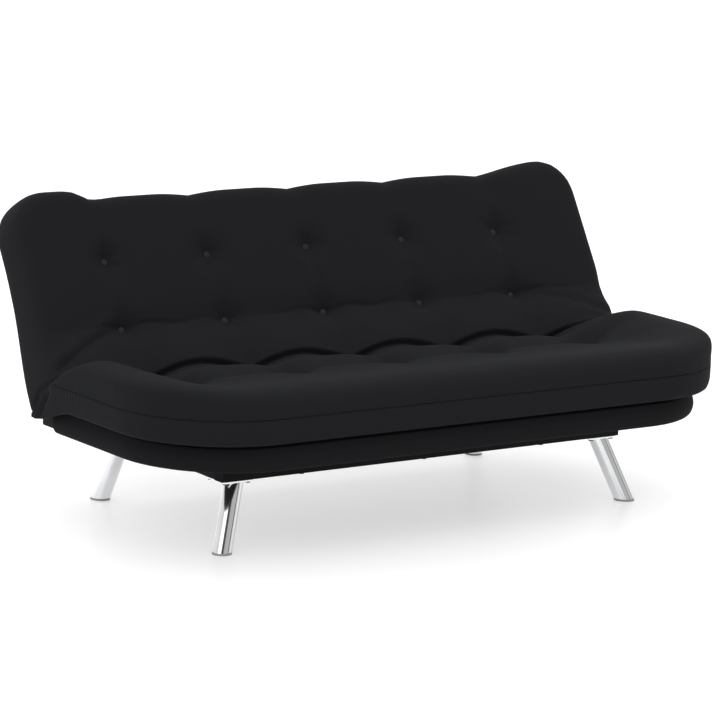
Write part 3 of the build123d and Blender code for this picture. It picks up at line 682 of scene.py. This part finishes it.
def back_tufts(x, out):
    """How deep the backrest's buttons draw it in, less the small folds round them."""
    depth = np.zeros(len(x))
    for row in back_tuft_outs:
        for column_x in tuft_columns:
            depth = depth + 27 * MM * tuft(np.hypot(x - column_x, out - row), 88 * MM)
        depth = depth - 1.1 * MM * pleats(x, out, tuft_columns, row, 6, 70 * MM)
    return depth


def back_creases(x, out):
    """Thin creases: along the low row, down from the top buttons, and up from the outer ones."""
    low, high = back_tuft_outs
    half_pitch = (tuft_columns[1] - tuft_columns[0]) / 2
    column = nearest_column(x)
    within = ramp(np.abs(x), half_width - 20 * MM, tuft_columns[-1])
    bow = low + 10 * MM * np.sin(np.pi * column / half_pitch) ** 2
    along_row = within * (0.55 + 0.45 * np.sin(9 * x + 1.0))
    depth = 6 * MM * cusp(out - bow, 13 * MM, 1.2) * along_row
    between = ramp(out, low + 10 * MM, low + 50 * MM) * ramp(out, high - 10 * MM, high - 40 * MM)
    depth = depth + 3.5 * MM * cusp(column, 18 * MM, 1.3) * between
    above = ramp(out, high, high + 20 * MM) * ramp(out, high + 85 * MM, high + 40 * MM)
    outer = ramp(np.abs(x), 500 * MM, 600 * MM) * above
    return depth + 4 * MM * outer * cusp(column, 14 * MM, 1.2)


def corner_folds(x, out):
    """The folds that run from the outer low buttons to the ends of the junction."""
    low, outermost = back_tuft_outs[0], tuft_columns[-1]
    run = np.clip((np.abs(x) - outermost) / (half_width - outermost), 0, 1.2)
    trail = low - 118 * MM * run ** 1.5
    strength = ramp(np.abs(x), outermost + 5 * MM, outermost + 70 * MM)
    strength = strength * np.where(x < 0, 1.0, 0.55)
    groove = 10 * MM * cusp(out - trail, 26 * MM, 1.4)
    ridge = 5 * MM * cusp(out - trail - 34 * MM, 30 * MM, 1.2)
    return strength * (groove - ridge)


def pillow_back(local):
    """Quilts the backrest's front, dips its top edge, and settles its filling to the sides."""
    top_dip, foot_tuck = 8 * MM, 34 * MM
    x, out, up = local.T
    lifted = ramp(up, underside + 45 * MM, underside + 125 * MM)
    drop = back_channels(x, out) + back_tufts(x, out)
    drop = drop + back_creases(x, out) + corner_folds(x, out)
    local[:, 2] = up - lifted * drop
    far = ramp(out, back_reach - 150 * MM, back_reach - 20 * MM)
    foot = ramp(out, 100 * MM, 5 * MM) * ramp(up, 110 * MM, 175 * MM)
    top = far * top_dip * cusp(nearest_column(x), 110 * MM)
    local[:, 1] = out - top - foot * foot_tuck * scallop(x)
    # the filling has settled a little more to one side
    settled = ramp(np.abs(x), 600 * MM, 900 * MM)
    right = 38 * MM + 19 * MM * ramp(out, 20 * MM, 200 * MM)
    left = 28 * MM + 18 * MM * ramp(out, 0, 400 * MM)
    local[:, 0] = x + settled * np.where(x > 0, right, left)
    return local


def along_fold(points):
    """Distance from the fold's plane, positive on the seat side, and from the pivot along it."""
    offset = points - np.array(pivot)
    return offset @ np.array(fold_normal), offset @ np.array(fold_rise)


def press_fold(points, away, along):
    """Presses the halves together: a deep crease along the junction that turns down the sides."""
    crease_depth, slit_depth, sag_depth = 22 * MM, 21 * MM, 46 * MM
    near_top = ramp(along, 90 * MM, 150 * MM)
    deep = crease_depth * cusp(away, 12 * MM, 1.1) * near_top
    points = points - deep[:, None] * np.array(fold_rise)
    side = ramp(np.abs(points[:, 0]), half_width - 60 * MM, half_width - 10 * MM)
    second = ramp(along, 60 * MM, 110 * MM) * ramp(along, 190 * MM, 150 * MM)
    slit = cusp(away - 1 * MM, 13 * MM, 1.1) + 0.7 * cusp(away - 24 * MM, 10 * MM, 1.1) * second
    inwards = slit_depth * slit * side * ramp(along, 20 * MM, 70 * MM)
    points[:, 0] -= np.sign(points[:, 0]) * inwards
    # outside the hinges the filling sags below the fold
    from_pivot = np.hypot(points[:, 1] - pivot.y, points[:, 2] - pivot.z)
    height = np.where(away > 0, on_seat(points)[:, 2], on_back(points)[:, 2])
    sag = ramp(np.abs(points[:, 0]), 876 * MM, 915 * MM) * ramp(from_pivot, 260 * MM, 60 * MM)
    points[:, 2] -= sag_depth * sag * ramp(height, 90 * MM, underside)
    return points


def shape_pillows(points):
    """Quilts both halves, each on its own deck, with nothing torn at the fold."""
    away, along = along_fold(points)
    seat = from_seat(pillow_seat(on_seat(points)))
    back = from_back(pillow_back(on_back(points)))
    share = ramp(away, -7 * MM, 7 * MM)[:, None]
    return press_fold(seat * share + back * (1 - share), away, along)


def sew_seam(piece):
    """Sews the seat's side seam: three loops at its height, the middle one drawn in."""
    height = pivot.z + seat_seam
    spacing, drawn_in = 4 * MM, 5 * MM
    bm = bmesh.new()
    bm.from_mesh(piece.data)
    for step in (-spacing, 0, spacing):
        faces = [f for f in bm.faces if on_seam(f.calc_center_median(), height)]
        edges = list({e for f in faces for e in f.edges})
        verts = list({v for f in faces for v in f.verts})
        bmesh.ops.bisect_plane(
            bm, geom=faces + edges + verts, plane_co=(0, 0, height + step), plane_no=(0, 0, 1)
        )
    bm.normal_update()
    for vert in bm.verts:
        if abs(vert.co.z - height) < 0.4 * MM and on_seam(vert.co, height):
            vert.co -= Vector((vert.normal.x, vert.normal.y, 0)) * drawn_in
    bm.to_mesh(piece.data)
    bm.free()


def on_seam(point, height):
    """Whether a point lies on the seat's outside, near the seam."""
    out = pivot.y - point.y
    past = math.hypot(max(abs(point.x) - seat_corner_x, 0), max(out - seat_corner_out, 0))
    return abs(point.z - height) < 24 * MM and past > seat_corner - 45 * MM and out > 150 * MM


def make_mattress():
    """The folded mattress: one quilted cover over both decks."""
    seat_roll = roll_profile(seat_seam, 108 * MM, 2.4)
    back_roll = roll_profile(back_seam, 50 * MM, 3.2)
    seat = mattress_half("mattress", seat_reach, seat_corner, seat_roll, from_seat, swell_seat)
    back = mattress_half("mattress_back", back_reach, back_corner, back_roll, from_back, swell_back)
    cut_at_fold(seat, 1)
    cut_at_fold(back, -1)
    pick(seat)
    back.select_set(True)
    bpy.ops.object.join()
    apply(seat, "REMESH", mode="VOXEL", voxel_size=10.5 * MM, adaptivity=0.0)
    apply(seat, "SMOOTH", factor=0.5, iterations=4)
    apply(seat, "SUBSURF", levels=1, render_levels=1)
    set_points(seat, shape_pillows(points_of(seat)))
    apply(seat, "SMOOTH", factor=0.5, iterations=1)
    sew_seam(seat)
    return seat


mattress = make_mattress()
finish(mattress, charcoal)
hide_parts("seat_mattress", "back_mattress", "seat_foam_core", "back_foam_core")


# ---- buttons ---------------------------------------------------------------------------------

def surface_height(place_on, x, out, radius):
    """How far out of its deck the mattress stands round a place."""
    local = place_on(points_of(mattress))
    round_it = np.hypot(local[:, 0] - x, local[:, 1] - out) < radius
    on_top = local[:, 2] > underside + 25 * MM
    return local[round_it & on_top, 2].mean()


def covered_button(bm, place, x, out, up):
    """A cloth-covered button: a low dome with its cloth gathered under the rim."""
    profile = [
        (0, 4.6), (3, 4.45), (6, 3.9), (8.6, 2.8), (10.1, 1.2),
        (10.5, -0.4), (9.9, -1.8), (8.4, -2.8), (0, -3.0),
    ]   # radius and height, mm
    steps = 28
    rings = []
    for radius, height in profile:
        if radius == 0:
            rings.append([bm.verts.new(place(np.array([[x, out, up + height * MM]]))[0])])
            continue
        ring = []
        for i in range(steps):
            turn = 2 * math.pi * i / steps
            gather = 1 + (0.02 * math.cos(9 * turn) if height < 1.5 else 0)
            reach = radius * gather * MM
            spot = [x + reach * math.cos(turn), out + reach * math.sin(turn), up + height * MM]
            ring.append(bm.verts.new(place(np.array([spot]))[0]))
        rings.append(ring)
    for first, second in zip(rings, rings[1:]):
        for i in range(steps):
            j = (i + 1) % steps
            a, b = first[i % len(first)], first[j % len(first)]
            c, d = second[j % len(second)], second[i % len(second)]
            corners = [a, b, c, d]
            bm.faces.new([v for k, v in enumerate(corners) if v not in corners[:k]])


def make_buttons(name, node, body, place, place_on, rows):
    """One row or two of covered buttons, each seated in its tuft."""
    seat_radius, stand_off = 9 * MM, 1.5 * MM
    bm = bmesh.new()
    for row in rows:
        for column in tuft_columns:
            up = surface_height(place_on, column, row, seat_radius) + stand_off
            covered_button(bm, place, column, row, up)
    bmesh.ops.recalc_face_normals(bm, faces=bm.faces[:])
    buttons = piece_from(name, bm)
    apply(buttons, "SUBSURF", levels=1, render_levels=1)
    finish(buttons, button_weave)
    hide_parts(node)
    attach(buttons, body)


make_buttons("seat_tuft_buttons", "seat_buttons", "base", from_seat, on_seat, [seat_tuft_out])
make_buttons("back_tuft_buttons", "back_buttons", "backrest", from_back, on_back, back_tuft_outs)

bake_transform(mattress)


# ---- base band -------------------------------------------------------------------------------

def band_section():
    """Closed section of the band's cover: (inset, height over the pivot plane), mm."""
    flange = [
        (23, 3.3), (21, 5), (20.4, 10), (20, 17.3), (17, 17.3), (16.6, 10), (15.5, 6.5),
    ]
    outside = [
        (10.5, 6), (5.5, 5.4), (3, 3), (1.4, -2.5), (-1.4, -9), (-4.6, -17), (-6.6, -25),
        (-7, -32), (-6.5, -36), (-4.5, -46), (-1, -53), (3.5, -57.2), (9, -59.2),
    ]
    hem = [(16, -59.6), (23, -59.2), (23, -57.3)]
    against_board = [(7.8, -57.3), (7.8, -27), (7.8, 3.3)]
    return flange + outside + hem + against_board


def band_path():
    """Plan of the band's outside as (x, out, outward x, outward out), end to end."""
    half = []
    centre_x, centre_out = band_half_width - band_corner, band_reach - band_corner
    straight = centre_out - band_rear
    for i in range(side_steps):
        half.append((band_half_width, band_rear + straight * i / side_steps, 1, 0))
    for i in range(corner_steps + 1):
        turn = math.pi / 2 * i / corner_steps
        c, s = math.cos(turn), math.sin(turn)
        half.append((centre_x + band_corner * c, centre_out + band_corner * s, c, s))
    for i in range(1, front_steps + 1):
        half.append((centre_x * (1 - i / front_steps), band_reach, 0, 1))
    return half + [(-x, out, -nx, ny) for x, out, nx, ny in reversed(half[:-1])]


def make_band():
    """Padded band round the seat's frame, its rear ends closed and rounded."""
    section = band_section()
    mid_inset, mid_height = 11, -27     # middle of the section, which the tips shrink to
    path = [(x, out, nx, ny, 1.0) for x, out, nx, ny in band_path()]
    tips = [(3, 0.99), (7, 0.93), (10.5, 0.80), (13, 0.58), (14, 0.3)]  # mm past the end, share
    first, last = path[0], path[-1]
    path = [(first[0], first[1] - back * MM, 1, 0, share) for back, share in reversed(tips)] + path
    path = path + [(last[0], last[1] - back * MM, -1, 0, share) for back, share in tips]
    bm = bmesh.new()
    rings = []
    for x, out, nx, ny, share in path:
        ring = []
        for inset, height in section:
            inset = mid_inset + (inset - mid_inset) * share
            height = mid_height + (height - mid_height) * share
            spot = np.array([[x - nx * inset * MM, out - ny * inset * MM, height * MM]])
            ring.append(bm.verts.new(from_seat(spot)[0]))
        rings.append(ring)
    bridge(bm, rings)
    cap(bm, rings)
    bmesh.ops.recalc_face_normals(bm, faces=bm.faces[:])
    band = piece_from("base_band", bm)
    apply(band, "SUBSURF", levels=1, render_levels=1)
    finish(band, band_weave)
    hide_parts("band_cover")
    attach(band, "base")


make_band()


# ---- dust cover and rear cover ---------------------------------------------------------------

def make_dust_cover():
    """Black lining tacked under the seat, a little slack between the rails."""
    slack, ripple = 5 * MM, 1.5 * MM
    bm = bmesh.new()
    rings = []
    side, reach = band_half_width - lining_inset, band_reach - lining_inset
    shift = half_width - side
    corner = band_corner - lining_inset + shift
    for inset in (0, 6, 14, 30, 60, 100, 150, 205, 260, 310, 335):
        inset = inset * MM
        ring = plan_ring(inset + shift, reach + shift, corner, lining_rear + inset)
        rings.append([bm.verts.new((x, out, 0)) for x, out in ring])
    bridge(bm, rings)
    bm.faces.new(rings[-1])
    bmesh.ops.triangulate(bm, faces=[f for f in bm.faces if len(f.verts) > 4])
    bmesh.ops.recalc_face_normals(bm, faces=bm.faces[:])
    cloth = piece_from("dust_sheet", bm)
    local = points_of(cloth)
    x, out = local[:, 0], local[:, 1]
    inside = ramp(np.abs(x), rail_x - 25 * MM, rail_x - 190 * MM)
    inside = inside * ramp(out, rail_front - 25 * MM, rail_front - 150 * MM)
    inside = inside * ramp(out, 30 * MM, 150 * MM)
    waves = np.sin(x * 14) * np.sin(out * 17)
    local[:, 2] = lining_up - inside * (slack + ripple * waves) - 0.4 * MM
    set_points(cloth, from_seat(local))
    finish(cloth, lining)
    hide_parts("dust_cover")
    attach(cloth, "base")


def wrap(distance, edge, turn):
    """Where a sheet lies that is laid flat to an edge and folded over it: (place, rise)."""
    past = np.abs(distance) - (edge - turn)
    angle = np.clip(past / turn, 0, math.pi / 2)
    rest = np.maximum(past - turn * math.pi / 2, 0)
    place = np.where(past > 0, edge - turn + turn * np.sin(angle), np.abs(distance))
    rise = np.where(past > 0, turn * (1 - np.cos(angle)) + rest, 0)
    return np.sign(distance) * place, rise


def make_back_cover():
    """Cloth panel stretched over the back of the backrest's frame and folded round its tubes."""
    edge_x, edge_out, low_out = 855 * MM, 484 * MM, 64 * MM
    lap, fold_in, fold_off = 24 * MM, 14 * MM, 26 * MM
    hinge_top = 236 * MM
    tube_turn, slack, cloth_thick = 4 * MM, 3 * MM, 1.2 * MM
    steps_x = np.concatenate((
        np.linspace(-edge_x - lap, -edge_x + fold_in, 16),
        np.linspace(-edge_x + fold_off, edge_x - fold_off, 130),
        np.linspace(edge_x - fold_in, edge_x + lap, 16),
    ))
    steps_out = np.concatenate((
        np.linspace(low_out, edge_out - fold_off, 36),
        np.linspace(edge_out - fold_in, edge_out + lap, 16),
    ))
    bm = bmesh.new()
    grid = [[bm.verts.new((a, b, 0)) for b in steps_out] for a in steps_x]
    for i in range(len(steps_x) - 1):
        for j in range(len(steps_out) - 1):
            a, b = (steps_x[i] + steps_x[i + 1]) / 2, (steps_out[j] + steps_out[j + 1]) / 2
            over_side, over_top = abs(a) > edge_x - 1 * MM, b > edge_out - 1 * MM
            # the laps are cut away at the top corners and beside the hinges
            if (over_side and over_top) or (over_side and b < hinge_top):
                continue
            bm.faces.new((grid[i][j], grid[i + 1][j], grid[i + 1][j + 1], grid[i][j + 1]))
    loose = [v for v in bm.verts if not v.link_faces]
    bmesh.ops.delete(bm, geom=loose, context="VERTS")
    cloth = piece_from("rear_panel", bm)
    local = points_of(cloth)
    x, rise_x = wrap(local[:, 0], edge_x, tube_turn)
    out, rise_out = wrap(local[:, 1], edge_out, tube_turn)
    bay = np.abs(np.sin(np.pi * np.clip(np.abs(x), 0, 800 * MM) / (400 * MM)))
    free = ramp(out, 60 * MM, 160 * MM) * ramp(out, 470 * MM, 380 * MM)
    free = free * ramp(np.abs(x), 830 * MM, 780 * MM)
    up = frame_rear + np.maximum(rise_x, rise_out) + slack * bay * free
    set_points(cloth, from_back(np.column_stack((x, out, up))))
    apply(cloth, "SOLIDIFY", thickness=cloth_thick, offset=0)
    finish(cloth, rear_cloth, 50)
    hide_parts("back_cover")
    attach(cloth, "backrest")


make_dust_cover()
make_back_cover()


# ---- studio ----------------------------------------------------------------------------------

def make_floor():
    """A wide pale floor under the glides."""
    bpy.ops.mesh.primitive_plane_add(size=60, location=(0, 0, 0))
    floor = bpy.context.object
    floor.name = "studio_floor"
    floor.data.materials.append(studio_floor())


def sun(name, towards, spread, strength):
    """A distant soft light that shines from a direction, the same all over the floor."""
    bpy.ops.object.light_add(type="SUN", location=Vector(towards) * 5)
    lamp = bpy.context.object
    lamp.name = name
    lamp.data.angle = math.radians(spread)
    lamp.data.energy = strength
    lamp.rotation_euler = Vector(towards).to_track_quat("Z", "Y").to_euler()


def make_sky():
    """White all round; in the gloss of metal it shows a studio's dark doorway and its greys."""
    ambient = 0.88
    world = bpy.data.worlds.new("studio_world")
    bpy.context.scene.world = world
    world.use_nodes = True
    sky = Finish(world)
    towards = sky.node("ShaderNodeTexCoord").outputs["Generated"]
    x, y, _ = sky.node("ShaderNodeSeparateXYZ", Vector=towards).outputs
    turn = sky.math("ARCTAN2", Channel(sky, y), Channel(sky, x)) / (2 * math.pi) + 0.5
    # the room's grey at each bearing in degrees
    greys = [
        (0, 0.72), (13, 0.55), (21, 1.0), (47, 1.0), (53, 0.07), (74, 0.08), (81, 0.50),
        (127, 0.55), (131, 0.10), (137, 0.10), (141, 0.85), (175, 0.45), (200, 0.9),
        (320, 0.9), (360, 0.72),
    ]
    stops = [(degrees / 360, (grey, grey, grey, 1)) for degrees, grey in greys]
    room = Channel(sky, sky.node("ShaderNodeValToRGB", {"stops": stops}, Fac=turn).outputs[0])
    path = sky.node("ShaderNodeLightPath")
    glossy = Channel(sky, path.outputs["Is Glossy Ray"])
    seen = Channel(sky, path.outputs["Is Camera Ray"])
    strength = seen + (1 - seen) * (glossy * room + (1 - glossy) * ambient)
    light = sky.node("ShaderNodeBackground", Color=(1, 1, 1, 1), Strength=strength)
    sky.node("ShaderNodeOutputWorld", Surface=light.outputs[0])


def make_camera():
    """Long lens from the front left, a little above the sofa."""
    turn, dip, roll = math.radians(35.96), math.radians(11.18), math.radians(2.32)
    view = Vector((math.sin(turn) * math.cos(dip), math.cos(turn) * math.cos(dip), -math.sin(dip)))
    level = Vector((math.cos(turn), -math.sin(turn), 0))
    rise = level.cross(view)
    right = level * math.cos(roll) + rise * math.sin(roll)
    bpy.ops.object.camera_add(location=(-5.774, -7.926, 2.337))
    camera = bpy.context.object
    camera.name = "camera"
    camera.rotation_euler = Matrix((right, right.cross(view), -view)).transposed().to_euler()
    camera.data.sensor_width = 36
    camera.data.lens = 183.6
    camera.data.clip_end = 200
    bpy.context.scene.camera = camera


make_floor()
sun("overhead_light", (0.15, 0.1, 1), 75, 0.32)
sun("left_light", (-1, -0.45, 0.5), 40, 0.35)
make_sky()
make_camera()
bpy.context.scene.view_settings.view_transform = "Standard"
